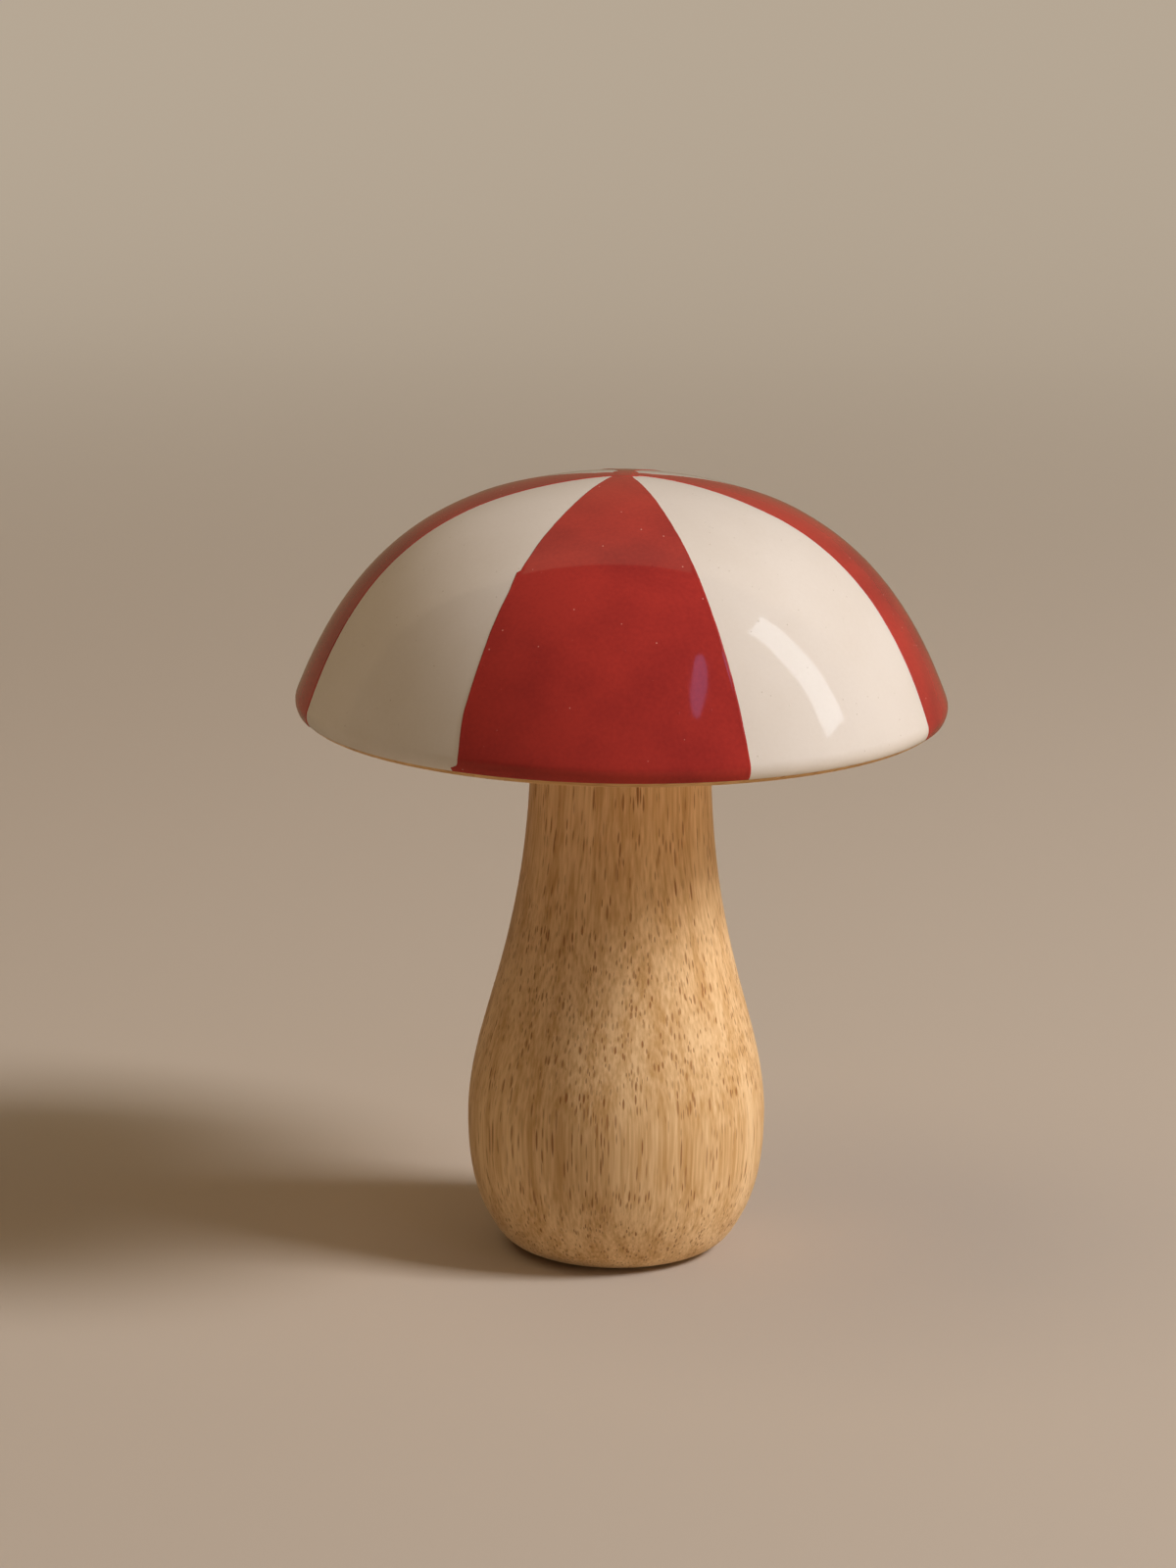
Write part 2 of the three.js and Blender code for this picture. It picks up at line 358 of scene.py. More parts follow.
def make_wood_group():
    tree, given, made = new_group(
        "wood figure",
        [
            ("Grain", VECTOR, None),
            ("Pale", COLOUR, (0.6, 0.35, 0.15, 1)),
            ("Warm", COLOUR, (0.5, 0.25, 0.08, 1)),
            ("Pore", COLOUR, (0.17, 0.06, 0.02, 1)),
            ("Pore Share", NUMBER, 0.6),
            ("Smooth", NUMBER, 0.42),
        ],
        [("Color", COLOUR), ("Roughness", NUMBER), ("Height", NUMBER)],
    )
    grain = given.outputs["Grain"]
    bend = noise_at(tree, stretched(tree, grain, *BEND_SIZE), 1.0).outputs["Color"]
    swing = vector_maths(tree, "SUBTRACT", bend, (0.5, 0.5, 0.5)).outputs[0]
    sway = vector_maths(tree, "MULTIPLY", swing, (SWAY * MM, SWAY * MM, 0)).outputs[0]
    wavy = vector_maths(tree, "ADD", grain, sway).outputs[0]

    strings = noise_at(tree, stretched(tree, wavy, *STRING_SIZE), 1.0).outputs[0]
    crowd = ramp(tree, strings, 0.35, 0.65, CROWD_LEAST, CROWD_MOST)
    share = maths(tree, "MULTIPLY", given.outputs["Pore Share"], crowd)
    long_ones = vessels(tree, wavy, *LONG_VESSELS, share)
    elsewhere = vector_maths(tree, "ADD", wavy, SHORT_VESSELS_START).outputs[0]
    short_ones = vessels(tree, elsewhere, *SHORT_VESSELS, share)
    pores = maths(tree, "MAXIMUM", long_ones, short_ones)

    fibre = noise_at(tree, stretched(tree, wavy, *FIBRE_SIZE), 3.0).outputs[0]
    streak = noise_at(tree, stretched(tree, wavy, *STREAK_SIZE), 2.0).outputs[0]
    from_pith = vector_maths(tree, "ADD", wavy, (PITH_X * MM, PITH_Y * MM, 0)).outputs[0]
    flat = vector_maths(tree, "MULTIPLY", from_pith, (1, 1, RING_TAPER)).outputs[0]
    ring_at = vector_maths(tree, "LENGTH", flat).outputs["Value"]
    ring = maths(tree, "SINE", maths(tree, "MULTIPLY", ring_at, 2 * math.pi / (RING_WIDTH * MM)))

    tone = ramp(tree, streak, 0.3, 0.7, *STREAK_TONES)
    tone = maths(tree, "MULTIPLY_ADD", ring, RING_TONE, tone)
    off_middle = maths(tree, "SUBTRACT", fibre, 0.5)
    tone = maths(tree, "MULTIPLY_ADD", off_middle, FIBRE_TONE, tone, clamp=True)
    wood = mix(tree, tone, given.outputs["Pale"], given.outputs["Warm"])
    colour = mix(tree, maths(tree, "MULTIPLY", pores, PORE_TONE), wood, given.outputs["Pore"])

    rough = maths(tree, "MULTIPLY_ADD", fibre, FIBRE_ROUGHNESS, given.outputs["Smooth"])
    rough = maths(tree, "MULTIPLY_ADD", pores, PORE_ROUGHNESS, rough)
    raised = maths(tree, "MULTIPLY_ADD", fibre, FIBRE_HEIGHT, 1.0)
    height = maths(tree, "SUBTRACT", raised, pores)
    tree.links.new(colour, made.inputs["Color"])
    tree.links.new(rough, made.inputs["Roughness"])
    tree.links.new(height, made.inputs["Height"])
    return tree


wood_group = make_wood_group()
print("wood figure group has", len(wood_group.nodes), "nodes")

# %% [markdown]
# ## Three woods from one group
#
# Each piece turns the block its own way before it asks for the figure: the stem's grain stands
# upright, and the cap is cut from a board, so its grain lies across. The stem has a satin coat over
# it, which is the shader's own Coat and not part of the group. The pores are pressed in with a Bump
# node as well as coloured, so that a low light catches their edges.

# %% The wood materials
def new_material(name):
    material = bpy.data.materials.new(name)
    material.use_nodes = True
    material.node_tree.nodes.clear()
    return material, material.node_tree


SHEEN_TINT = (1.0, 0.8, 0.58, 1)


def make_wood(name, tilt, pale, warm, pore, share, smooth, pore_depth, coat, sheen):
    material, tree = new_material(name)
    place = node(tree, "ShaderNodeTexCoord").outputs["Object"]
    grain = node(tree, "ShaderNodeMapping", {"Vector": place, "Rotation": (0, math.radians(tilt), 0)})
    figure = place_group(
        tree,
        wood_group,
        Grain=grain.outputs[0],
        Pale=pale,
        Warm=warm,
        Pore=pore,
        Pore_Share=share,
        Smooth=smooth,
    )
    pressed_in = {"Strength": 0.6, "Distance": pore_depth, "Height": figure.outputs["Height"]}
    bump = node(tree, "ShaderNodeBump", pressed_in)
    shader = node(
        tree,
        "ShaderNodeBsdfPrincipled",
        {
            "Base Color": figure.outputs["Color"],
            "Roughness": figure.outputs["Roughness"],
            "Normal": bump.outputs[0],
            "Specular IOR Level": 0.3,
            "Coat Weight": coat,
            "Coat Roughness": 0.32,
            "Sheen Weight": sheen,
            "Sheen Roughness": 0.5,
            "Sheen Tint": SHEEN_TINT,
        },
    )
    node(tree, "ShaderNodeOutputMaterial", [shader.outputs[0]])
    return material


stem_wood = make_wood(
    "stem wood",
    tilt=0,
    pale=(0.97, 0.67, 0.35, 1),
    warm=(0.65, 0.365, 0.13, 1),
    pore=(0.34, 0.12, 0.026, 1),
    share=0.78,
    smooth=0.42,
    pore_depth=0.02 * MM,
    coat=0.07,
    sheen=0.14,
)
cap_wood = make_wood(
    "cap wood",
    tilt=90,
    pale=(0.8, 0.49, 0.205, 1),
    warm=(0.57, 0.3, 0.1, 1),
    pore=(0.34, 0.12, 0.026, 1),
    share=0.5,
    smooth=0.52,
    pore_depth=0.04 * MM,
    coat=0.0,
    sheen=0.12,
)
dowel_wood = make_wood(
    "dowel wood",
    tilt=0,
    pale=(0.74, 0.54, 0.32, 1),
    warm=(0.64, 0.43, 0.22, 1),
    pore=(0.4, 0.22, 0.1, 1),
    share=0.25,
    smooth=0.6,
    pore_depth=0.03 * MM,
    coat=0.0,
    sheen=0.1,
)
print("woods:", stem_wood.name, cap_wood.name, dowel_wood.name)

# %% [markdown]
# ## The stem
#
# One turned piece: a small flat foot, a corner rolled over with a skew chisel, a full belly and a
# waist that flares a little where it meets the cap. Its top holds the drilled hole for the dowel,
# which is hidden once the cap is on. The sizes are those of the CAD stem, and the sanding only ever
# takes wood off, so the finer stem stays inside it.

# %% The stem
HOLE_R = 5.3
HOLE_COUNTERSINK = 0.6
DRILL_HALF_DEG = 59
DRILL_POINT_H = HOLE_R / math.tan(math.radians(DRILL_HALF_DEG))
FOOT_R = 13
FOOT_ROUND_R = 6.9
FOOT_ROUND_DEG = 58
BELLY_R = 23.2
BELLY_Z = 21.2
NECK_R = 14.1
NECK_FLARE = 0.045
FOOT_PULL = 0.23  # how far each curve heads on, as a share of its rise
BELLY_PULL_DOWN = 0.585
BELLY_PULL_UP = 0.24
NECK_PULL = 0.595
STEM_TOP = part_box("stem")[1].z / MM
DOWEL_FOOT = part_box("joint_dowel")[0].z / MM
DOWEL_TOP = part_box("joint_dowel")[1].z / MM
GLUE_ROOM = 1
STEM_COLUMNS = 192
SANDING = 0.07
SANDED_LOBES = 1.6
SANDED_RISE = 11


def drilled_hole(mouth, end):
    """A drilled hole's outline, from its countersunk mouth to the middle of the drill's point."""
    way = 1 if end > mouth else -1
    return [
        Vector((HOLE_R + HOLE_COUNTERSINK, mouth)),
        Vector((HOLE_R, mouth + way * HOLE_COUNTERSINK)),
        Vector((HOLE_R, end)),
        Vector((0, end + way * DRILL_POINT_H)),
    ]


def sanded(turn, height):
    """How far sanding has taken the surface in, in millimetres."""
    spot = Vector((SANDED_LOBES * math.cos(turn), SANDED_LOBES * math.sin(turn), height / SANDED_RISE))
    return SANDING * (0.5 + 0.5 * noise.noise(spot))


def stem_outline():
    corner = arc((FOOT_R, FOOT_ROUND_R), FOOT_ROUND_R, -90, FOOT_ROUND_DEG - 90, 14)
    start = corner[-1]
    swell_rise = BELLY_Z - start.y
    waist_rise = STEM_TOP - BELLY_Z
    belly = (BELLY_R, BELLY_Z)
    slope = Vector((math.cos(math.radians(FOOT_ROUND_DEG)), math.sin(math.radians(FOOT_ROUND_DEG))))
    before_belly = (BELLY_R, BELLY_Z - BELLY_PULL_DOWN * swell_rise)
    swell = bezier(start, start + FOOT_PULL * swell_rise * slope, before_belly, belly, 30)
    after_belly = (BELLY_R, BELLY_Z + BELLY_PULL_UP * waist_rise)
    before_top = (NECK_R - NECK_FLARE * NECK_PULL * waist_rise, STEM_TOP - NECK_PULL * waist_rise)
    waist = bezier(belly, after_belly, before_top, (NECK_R, STEM_TOP), 100)
    foot = [Vector((0, 0)), Vector((FOOT_R / 2, 0))]
    return foot + corner + swell[1:] + waist[1:] + drilled_hole(STEM_TOP, DOWEL_FOOT - GLUE_ROOM)


add_piece("turned_stem", turned(stem_outline(), STEM_COLUMNS, sanded), stem_wood, ["stem"])

# %% [markdown]
# ## The cap's finished outline
#
# Everything on the cap is measured from one line, the outside of the finished paint: a lip rolled
# over at the rim, a leaning flank and a broad crown with a slight peak. The line is walked once from
# the crown down to the rim in tiny steps, and kept with its outward direction. After that each layer
# is simply `skin(way, depth)`: so far along the line, and so deep under it.

# %% The outline and its layers
CAP_R = 50
CAP_TOP = cad_box[1].z / MM
DOME_H = 37.5
RIM_Z = CAP_TOP - DOME_H
LIP_R = 2.7
LIP_TOP_DEG = 21
LIP_CENTRE = Vector((CAP_R - LIP_R, RIM_Z + LIP_R))
CROWN_PULL = 0.66
FLANK_PULL = 0.47
PEAK_DROP = 0.26
PEAK_R = 8
PEAK_FADE_FROM = 15
PEAK_FADE_TO = 38
LINE_STEPS = 900


def peaked(point):
    """The crown comes to a slight peak: round it, the dome lies a little lower than one curve would."""
    near = 1 - math.exp(-((point.x / PEAK_R) ** 2))
    fade = 1 - smooth_step(PEAK_FADE_FROM, PEAK_FADE_TO, point.x)
    return Vector((point.x, point.y - PEAK_DROP * near * fade))


def finished_line():
    """(way, point, outward) from the crown to the bottom of the lip."""
    lip = arc(LIP_CENTRE, LIP_R, LIP_TOP_DEG, -90, LINE_STEPS // 5)
    start = lip[0]
    lean = Vector((-math.sin(math.radians(LIP_TOP_DEG)), math.cos(math.radians(LIP_TOP_DEG))))
    after_crown = (CROWN_PULL * start.x, CAP_TOP)
    before_lip = start + FLANK_PULL * (CAP_TOP - start.y) * lean
    flank = bezier((0, CAP_TOP), after_crown, before_lip, start, LINE_STEPS)
    points = [peaked(point) for point in flank] + lip[1:]
    line = []
    way = 0.0
    for i, here in enumerate(points):
        before, after = points[max(0, i - 1)], points[min(len(points) - 1, i + 1)]
        along = (after - before).normalized()
        way += (here - points[i - 1]).length if i else 0.0
        line.append((way, here, Vector((-along.y, along.x))))
    return line


LINE = finished_line()
LINE_LENGTH = LINE[-1][0]


def skin(way, depth=0.0):
    """The point (radius, height) so far along the finished line from the crown, and so deep under it."""
    low, high = 0, len(LINE) - 1
    while high - low > 1:
        middle = (low + high) // 2
        low, high = (middle, high) if LINE[middle][0] <= way else (low, middle)
    share = (way - LINE[low][0]) / (LINE[high][0] - LINE[low][0])
    point = LINE[low][1].lerp(LINE[high][1], share)
    outward = LINE[low][2].lerp(LINE[high][2], share).normalized()
    return Vector((max(0.0, point.x - depth * outward.x), point.y - depth * outward.y))


def way_on_lip(degrees):
    """How far along the line the lip's rounding has turned to this angle."""
    return LINE_LENGTH - LIP_R * math.radians(degrees + 90)


def way_at_radius(radius):
    """How far along the line the dome has come out to this radius."""
    return next(way for way, point, _ in LINE if point.x >= radius)


def layer(start, end, depth, steps):
    """An outline along the line at one depth."""
    return [skin(start + (end - start) * i / steps, depth) for i in range(steps + 1)]


print("crown to the bottom of the lip:", round(LINE_LENGTH, 1), "mm")

# %% [markdown]
# ## The cap's wood
#
# The dome is turned from one piece: a shallow cove underneath, a flat with a socket for the stem's
# end, and the dowel's hole. The paint stops on the lip's rounding, so a thin line of bare wood shows
# all round under it. The wood is a shade lower than the paint there, and under the paint it lies
# deeper still, where nobody looks.

# %% The cap's wood
BARE_WOOD_DEPTH = 0.22
PAINTED_WOOD_DEPTH = 0.85
PAINT_FOOT_DEG = -38
WOOD_SHOULDER_DEG = -40
RIM_LAND = 1.5
COVE_RISE = 4
LANDING_W = 7
SOCKET_DEPTH = 2
SOCKET_GAP = 0.3
EDGE_ROUND = 0.4
CAP_COLUMNS = 224


def cap_wood_outline():
    landing_z = RIM_Z + COVE_RISE
    socket_r = NECK_R + SOCKET_GAP
    landing_r = NECK_R + LANDING_W
    cove_end = CAP_R - LIP_R - RIM_LAND
    run = cove_end - landing_r
    mouth = arc((socket_r + EDGE_ROUND, landing_z + EDGE_ROUND), EDGE_ROUND, 180, 270, 5)
    after_landing = (landing_r + run / 2, landing_z)
    before_rim = (cove_end - run / 4, landing_z)
    cove = bezier((landing_r, landing_z), after_landing, before_rim, (cove_end, RIM_Z), 44)
    foot = layer(LINE_LENGTH, way_on_lip(WOOD_SHOULDER_DEG), BARE_WOOD_DEPTH, 10)
    dome = layer(way_on_lip(WOOD_SHOULDER_DEG), 0, PAINTED_WOOD_DEPTH, 50)
    hole = drilled_hole(landing_z + SOCKET_DEPTH, DOWEL_TOP + GLUE_ROOM)
    rim = [Vector((point.x, max(point.y, RIM_Z))) for point in cove]
    return hole[::-1] + [Vector((socket_r, landing_z + SOCKET_DEPTH))] + mouth + rim + foot + dome


add_piece("turned_cap", turned(cap_wood_outline(), CAP_COLUMNS), cap_wood, ["cap_core"])

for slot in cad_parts["joint_dowel"].material_slots:
    slot.material = dowel_wood

# %% [markdown]
# ## What the enamel is
#
# Thick gloss paint, brushed or dipped, that has levelled itself before it set. Up close it isn't
# perfect: the surface still rolls a little, dust has dried into it as tiny nibs that catch the
# light, and the colour clouds by a few per cent. Small dots of another colour lie in it as well:
# dark dust on the cream, and on the red pale dots that are a painted glint, standing in for light
# caught by the nibs. Both colours share all that, so it is one group, and each gives it its own
# tones.

# %% The enamel's node group
# Sizes in millimetres. Nibs and the dots of another colour each have their cell, the dot's radius as
# a share of it, and the share of cells that have one. The dots are dust on the cream, and a painted
# glint on the red.
CLOUD_SIZE = 16
GRAIN_SIZE = 0.6
GRAIN_TONE = 0.9
NIBS = (2.6, 0.075, 0.4)
DUST_AND_GLINT_DOTS = (1.7, 0.085, 0.4)
DUST_AND_GLINT_TONE = 0.8
CLOUD_ROUGHNESS = 0.02
NIB_ROUGHNESS = 0.15
NIB_HEIGHT = 2.2
ROLL_SIZE = 3.2
ROLL_HEIGHT = 0.35
SAGS_ROUND = 19
SAG_LENGTH = 15
SAG_HEIGHT = 0.75
SAGS_FROM_R = 26
SAGS_FULL_R = 46


def make_enamel_group():
    tree, given, made = new_group(
        "enamel skin",
        [
            ("Place", VECTOR, None),
            ("Paint", COLOUR, (0.5, 0.5, 0.5, 1)),
            # the dots' colour: dark dust on the cream, a pale painted glint on the red
            ("Cloud", COLOUR, (0.4, 0.4, 0.4, 1)),
            ("Speck", COLOUR, (0.3, 0.3, 0.3, 1)),
            ("Gloss", NUMBER, 0.06),
        ],
        [("Color", COLOUR), ("Roughness", NUMBER), ("Height", NUMBER)],
    )
    place = given.outputs["Place"]

    def pattern(size, detail):
        return noise_at(tree, stretched(tree, place, size, size), detail).outputs[0]

    def dots(cell, radius, share):
        distance, chance = cells_at(tree, stretched(tree, place, cell, cell))
        dot = ramp(tree, distance, radius, radius * 0.5)
        return maths(tree, "MULTIPLY", dot, maths(tree, "LESS_THAN", chance[0], share))

    clouds = ramp(tree, pattern(CLOUD_SIZE, 2.0), 0.3, 0.75)
    grain = maths(tree, "SUBTRACT", pattern(GRAIN_SIZE, 2.0), 0.5)
    cloudy = maths(tree, "MULTIPLY_ADD", grain, GRAIN_TONE, clouds, clamp=True)
    nibs = dots(*NIBS)
    dust_and_glint_dots = dots(*DUST_AND_GLINT_DOTS)
    colour = mix(tree, cloudy, given.outputs["Paint"], given.outputs["Cloud"])
    # Dots of another colour: dark dust on the cream, and on the red a pale painted glint that stands in
    # for light caught by the nibs.
    colour = mix(tree, maths(tree, "MULTIPLY", dust_and_glint_dots, DUST_AND_GLINT_TONE), colour, given.outputs["Speck"])
    rough = maths(tree, "MULTIPLY_ADD", clouds, CLOUD_ROUGHNESS, given.outputs["Gloss"])
    rough = maths(tree, "MULTIPLY_ADD", nibs, NIB_ROUGHNESS, rough)
    height = maths(tree, "MULTIPLY", nibs, NIB_HEIGHT)
    height = maths(tree, "MULTIPLY_ADD", pattern(ROLL_SIZE, 1.0), ROLL_HEIGHT, height)

    flat = vector_maths(tree, "MULTIPLY", place, (1, 1, 0)).outputs[0]
    outwards = vector_maths(tree, "NORMALIZE", flat).outputs[0]
    around = vector_maths(tree, "MULTIPLY", outwards, (SAGS_ROUND, SAGS_ROUND, 0)).outputs[0]
    down = vector_maths(tree, "MULTIPLY_ADD", place, (0, 0, 1 / (SAG_LENGTH * MM)), around).outputs[0]
    sags = noise_at(tree, down, 1.0).outputs[0]
    out = vector_maths(tree, "LENGTH", flat).outputs["Value"]
    low = ramp(tree, out, SAGS_FROM_R * MM, SAGS_FULL_R * MM, 0.0, SAG_HEIGHT)
    height = maths(tree, "MULTIPLY_ADD", sags, low, height)
    tree.links.new(colour, made.inputs["Color"])
    tree.links.new(rough, made.inputs["Roughness"])
    tree.links.new(height, made.inputs["Height"])
    return tree


enamel_group = make_enamel_group()
print("enamel skin group has", len(enamel_group.nodes), "nodes")

# %% The enamel materials
ENAMEL_IOR = 1.52
ENAMEL_RELIEF = 0.015 * MM


def make_enamel(name, paint, cloud, dust_and_glint, gloss):
    material, tree = new_material(name)
    place = node(tree, "ShaderNodeTexCoord").outputs["Object"]
    surface = place_group(
        tree, enamel_group, Place=place, Paint=paint, Cloud=cloud, Speck=dust_and_glint, Gloss=gloss
    )
    relief = {"Strength": 1.0, "Distance": ENAMEL_RELIEF, "Height": surface.outputs["Height"]}
    bump = node(tree, "ShaderNodeBump", relief)
    shader = node(
        tree,
        "ShaderNodeBsdfPrincipled",
        {
            "Base Color": surface.outputs["Color"],
            "Roughness": surface.outputs["Roughness"],
            "Normal": bump.outputs[0],
            "IOR": ENAMEL_IOR,
        },
    )
    node(tree, "ShaderNodeOutputMaterial", [shader.outputs[0]])
    return material


cream_enamel = make_enamel(
    "cream enamel",
    paint=(0.81, 0.735, 0.635, 1),
    cloud=(0.775, 0.695, 0.59, 1),
    dust_and_glint=(0.56, 0.47, 0.36, 1),
    gloss=0.05,
)
red_enamel = make_enamel(
    "red enamel",
    paint=(0.49, 0.04, 0.029, 1),
    cloud=(0.34, 0.026, 0.022, 1),
    # pale dots: a painted glint, standing in for light caught by dust nibs
    dust_and_glint=(0.86, 0.4, 0.32, 1),
    gloss=0.05,
)
print("enamels:", cream_enamel.name, red_enamel.name)

# %% [markdown]
# ## The cream coat
#
# On the real cap the cream is one coat over the whole dome, and the red is painted over it. So it is
# one shell here too, a little deeper than the finished line, with a rounded foot where the paint
# rolled to a stop on the lip. A very low, slow swell runs through its surface, and later through
# the red as well: without it a reflection would look computed.

# %% The cream coat
CREAM_DEPTH = 0.17
CREAM_BACK = 0.8
ROLLED_EDGE = [(0.05, 0.02), (0.09, 0.07), (0.10, 0.15)]  # past the paint's foot, and under the coat
PAINT_SWELL = 0.014
PAINT_SWELL_SIZE = 11
LEAST_R = 5  # nearer the axis than this, the swell moves a point in by less


def paint_swell(x, y, z):
    """How much deeper the paint lies here, in millimetres, from its slow swell."""
    spot = Vector((x, y, z)) / PAINT_SWELL_SIZE
    return PAINT_SWELL * (0.5 + 0.5 * noise.noise(spot))


def swollen(point, turn, depth):
    """A point of the cap (radius, height) at a turn about Z, pressed in along its radius."""
    x, y = point.x * math.sin(turn), -point.x * math.cos(turn)
    inner = 1 - depth(x, y, point.y) / max(point.x, LEAST_R)
    return (x * inner * MM, y * inner * MM, (point.y - depth(x, y, point.y)) * MM)


def cream_outline():
    foot_way = way_on_lip(PAINT_FOOT_DEG)
    roll = [skin(foot_way + past, CREAM_DEPTH + under) for past, under in ROLLED_EDGE]
    outer = layer(0, way_on_lip(LIP_TOP_DEG), CREAM_DEPTH, 110)
    lip = layer(way_on_lip(LIP_TOP_DEG), foot_way, CREAM_DEPTH, 18)
    inner = layer(foot_way + ROLLED_EDGE[-1][0], 0, CREAM_BACK, 40)
    return outer + lip[1:] + roll + inner


def cream_swell(turn, height):
    x, y = CAP_R * math.sin(turn), -CAP_R * math.cos(turn)
    return paint_swell(x, y, height)


CREAM_COLUMNS = 288
cream_nodes = [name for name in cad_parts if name.startswith("enamel_cream")]
cream_coat = turned(cream_outline(), CREAM_COLUMNS, cream_swell)
add_piece("cream_coat", cream_coat, cream_enamel, cream_nodes)

# %% [markdown]
# ## The red gores
#
# Each gore is a film of paint with a real edge. Masking tape leaves a fine ridge along it, and a
# brush leaves it wandering by a fifth of a millimetre. The gores are wider at the rim, and beside the
# crown the lines stop short of meeting, so the reds run together, a little sooner at the back.
#
# A texture mask could draw the shape, but not the ridge that glints. So the film is a mesh: rows
# follow the line from the crown to the rim, and the columns crowd together near both edges, where
# the height drops in a third of a millimetre to just under the cream.
#
# The front gore's left line has two slips of the hand. Half way down, the brush went a little too
# far and came back. Near the rim a touch of cream has pushed the line in by up to a millimetre, but
# it stops short of the rim, so a small step of red is left at the foot.

# %% Where the gores' edges run
RED_FOOT_DEG = -40.2
GORE_START_R = 0.8
HALF_GORE = math.radians(22)
CROWN_SPREAD_R = 24  # the spread beside the crown has faded out here
RIM_SPREAD_R = 22  # the spread at the rim begins here
MOST_IN = 0.5  # how much of its half width a gore can lose where its lines draw in
MOST_IN_BACK = 0.3
MEETING_R = 1.2  # the reds are one up to here
PARTING_R = 2.6  # and apart from here on
BACK_MEETING = 1.9  # how much further out they are still one at the back
BACK_PARTING = 1.8  # and how many times as much further out they part there
OVERLAP = 0.12
SLOW_STRAY = 0.16
SLOW_STRAY_EVERY = 11
QUICK_STRAY = 0.05
QUICK_STRAY_EVERY = 2.3
STRAY_SEED = 3.1
SLIP_WAY = 34.8
SLIP_FADE = 3.2
SLIP_OUT = 0.45
TOUCH_UP_WAY = 57.5
TOUCH_UP_IN = 0.95
RUN_WAY = 66.5
RUN_STEP = 0.3
RUN_OUT = 0.35

# Each painted line: its azimuth half way down the dome, how many millimetres red spreads past it
# beside the crown, or draws in where the number is below 0, and how many degrees it spreads at the rim.
LINES = {
    "front_left": (-24.0, 1.25, 1.9),
    "front_right": (22.8, 0.7, 3.0),
    "right_left": (73.6, -1.6, 3.0),
    "right_right": (113.4, 0.3, 2.2),
    "back_left": (159.6, -2.2, 2.6),
    "back_right": (200.6, -2.2, 2.0),
    "left_left": (246.9, 0.3, 2.4),
    "left_right": (287.4, 0.4, 4.6),
}
SIDES = ["front", "right", "back", "left"]


def wander(way, seed):
    """How far a hand-painted line strays to one side, in millimetres."""
    slow = SLOW_STRAY * noise.noise(Vector((way / SLOW_STRAY_EVERY, seed, 0.3)))
    quick = QUICK_STRAY * noise.noise(Vector((way / QUICK_STRAY_EVERY, seed, 7.7)))
    return slow + quick


def slip(way):
    """How far red lies past the front gore's left line, where the painter slipped and touched it up."""
    step = SLIP_OUT * max(0, 1 - (way - SLIP_WAY) / SLIP_FADE) if way > SLIP_WAY else 0
    touched_up = TOUCH_UP_IN * smooth_step(TOUCH_UP_WAY, RUN_WAY, way)
    left_over = (TOUCH_UP_IN + RUN_OUT) * smooth_step(RUN_WAY - RUN_STEP, RUN_WAY + RUN_STEP, way)
    return step - touched_up + left_over


def meeting_azimuth(side, edge):
    """The middle of the cream between this edge of a gore and the next gore, where the two reds meet."""
    outward, other_edge = (-1, "right") if edge == "left" else (1, "left")
    beside = SIDES[(SIDES.index(side) + outward) % 4]
    middle = LINES[f"{side}_{edge}"][0]
    gap = (LINES[f"{beside}_{other_edge}"][0] - middle + 180) % 360 - 180
    return middle + gap / 2


def line_azimuth(side, edge, way, radius):
    """The azimuth of one edge of one gore, in degrees."""
    middle, crown_spread, rim_spread = LINES[f"{side}_{edge}"]
    outward = -1 if edge == "left" else 1
    most_in = (MOST_IN_BACK if side == "back" else MOST_IN) * radius * HALF_GORE
    spread = crown_spread * (1 - smooth_step(0, CROWN_SPREAD_R, radius))
    if spread < 0:
        spread = most_in * math.tanh(spread / most_in)
    if side == "front" and edge == "left":
        spread += slip(way)
    strayed = spread + wander(way, STRAY_SEED * middle)
    towards_rim = max(0, radius - RIM_SPREAD_R) / (CAP_R - RIM_SPREAD_R)
    turn = middle + outward * rim_spread * towards_rim**2
    turn += outward * math.degrees(math.asin(max(-1, min(1, strayed / radius))))
    meeting = meeting_azimuth(side, edge)
    further = BACK_MEETING * max(0, -math.cos(math.radians(meeting)))
    apart = smooth_step(MEETING_R + further, PARTING_R + BACK_PARTING * further, radius)
    joined = meeting + outward * math.degrees(OVERLAP / radius)
    return joined + (turn - joined) * apart


front_gore = [round(line_azimuth("front", edge, 30, 30), 1) for edge in ("left", "right")]
print("front gore at mid height, in degrees:", front_gore)

# %% Laying a film of paint
RED_FILM = 0.08
SUNK = 0.04
FILM_BACK = 0.08
EDGE_WIDTH = 0.34
RIDGE = 0.032
RIDGE_IN = 0.3
RIDGE_WIDTH = 0.16
RIDGE_START = 0.12
EDGE_STEPS = [0.0, 0.02, 0.06, 0.12, 0.19, 0.27, 0.36, 0.5, 0.8, 1.3]
EDGE_SHARE = 0.3
ROW_STEP = 0.5
GORE_STEPS = 44


def film_height(inside):
    """How high the film stands above its sunk edge, this far inside it, in millimetres."""
    t = min(1, inside / EDGE_WIDTH)
    ridge = RIDGE * math.exp(-(((inside - RIDGE_IN) / RIDGE_WIDTH) ** 2))
    return (RED_FILM + SUNK) * t * (2 - t) + ridge * smooth_step(0, RIDGE_START, inside)


def crowded(width, steps):
    """Distances across a strip that crowd together near both of its edges."""
    squeeze = min(1, EDGE_SHARE * width / EDGE_STEPS[-1])
    near = [step * squeeze for step in EDGE_STEPS]
    inner = [near[-1] + (width - 2 * near[-1]) * i / steps for i in range(1, steps)]
    return near + inner + [width - step for step in reversed(near)]


def border(grid):
    """The points round the outside of a grid, in order."""
    down_and_up = [row[0] for row in grid] + grid[-1][1:] + [row[-1] for row in grid[-2::-1]]
    return down_and_up + grid[0][-2:0:-1]


